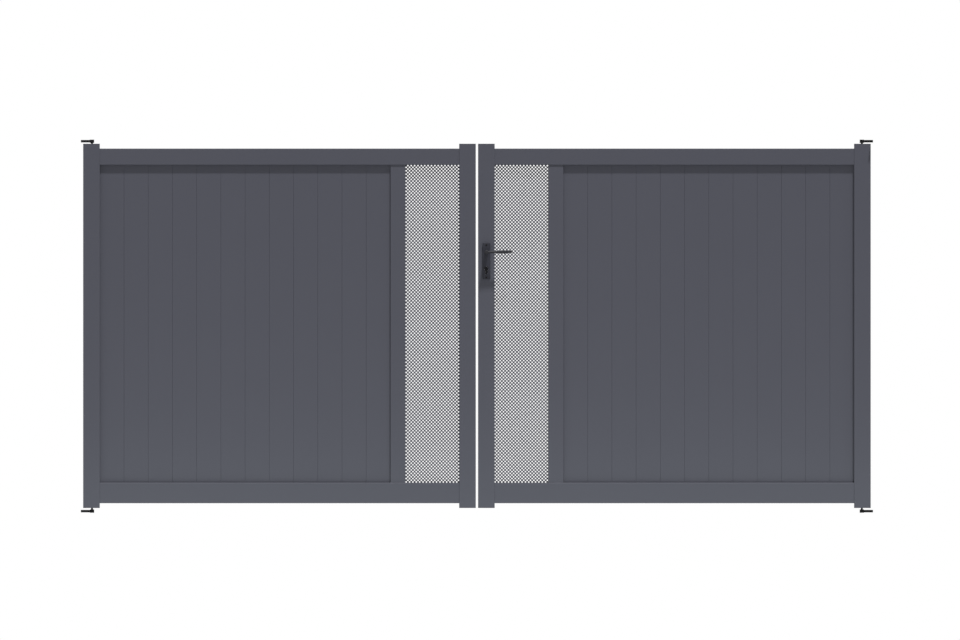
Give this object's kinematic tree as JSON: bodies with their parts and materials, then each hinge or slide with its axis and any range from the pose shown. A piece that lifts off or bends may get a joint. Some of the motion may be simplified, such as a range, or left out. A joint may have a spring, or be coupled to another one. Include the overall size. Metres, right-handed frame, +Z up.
{
  "type": "double swing gate",
  "caption": "Double swing gate with upright boarded leaves, a perforated strip beside the meeting stiles, pivot brackets for the pillars and a lever lock.",
  "frame": {"origin": "middle of the lower left bracket's flat face, which lies against the left pillar", "axes": "+X along the closed gate towards the right pillar, +Y through the gate away from the street, +Z up"},
  "size_m": [3.4796, 0.163, 1.639],
  "materials": {
    "coated_aluminium": "anthracite powder coat with a fine grain, satin",
    "cap_nylon": "anthracite moulded nylon",
    "bracket_steel": "black powder coat on steel",
    "spindle_steel": "bright drawn square steel bar",
    "lock_furniture": "black satin coat on die-cast aluminium",
    "cylinder_brass": "black plated brass"
  },
  "bodies": {
    "pillar_brackets": {"left_bottom_bracket": "bracket_steel", "left_top_bracket": "bracket_steel", "right_bottom_bracket": "bracket_steel", "right_top_bracket": "bracket_steel"},
    "left_leaf": {"left_hinge_stile": "coated_aluminium", "left_meeting_stile": "coated_aluminium", "left_mid_stile": "coated_aluminium", "left_top_rail": "coated_aluminium", "left_bottom_rail": "coated_aluminium", "left_boards": "coated_aluminium", "left_perforated_sheet": "coated_aluminium", "left_sheet_channels": "coated_aluminium", "left_bottom_pivot_cap": "cap_nylon", "left_top_pivot_cap": "cap_nylon", "left_meeting_caps": "cap_nylon"},
    "right_leaf": {"right_hinge_stile": "coated_aluminium", "right_meeting_stile": "coated_aluminium", "right_mid_stile": "coated_aluminium", "right_top_rail": "coated_aluminium", "right_bottom_rail": "coated_aluminium", "right_boards": "coated_aluminium", "right_perforated_sheet": "coated_aluminium", "right_sheet_channels": "coated_aluminium", "right_bottom_pivot_cap": "cap_nylon", "right_top_pivot_cap": "cap_nylon", "right_meeting_caps": "cap_nylon", "front_lock_plate": "lock_furniture", "back_lock_plate": "lock_furniture", "lock_cylinder": "cylinder_brass"},
    "lever_set": {"front_lever": "lock_furniture", "back_lever": "lock_furniture", "lever_spindle": "spindle_steel"}
  },
  "joints": [
    {"name": "left_leaf_swing", "type": "hinge", "parent": "pillar_brackets", "child": "left_leaf", "pos_m": [0.0489, 0, 0], "axis": [0, 0, 1], "range_deg": [0, 90]},
    {"name": "right_leaf_swing", "type": "hinge", "parent": "pillar_brackets", "child": "right_leaf", "pos_m": [3.4307, 0, 0], "axis": [0, 0, -1], "range_deg": [0, 90]},
    {"name": "lever_turn", "type": "hinge", "parent": "right_leaf", "child": "lever_set", "pos_m": [1.7813, 0, 1.1379], "axis": [0, 1, 0], "range_deg": [0, 40], "stiffness_Nm_per_rad": 1.2, "springref_deg": -22.92}
  ]
}
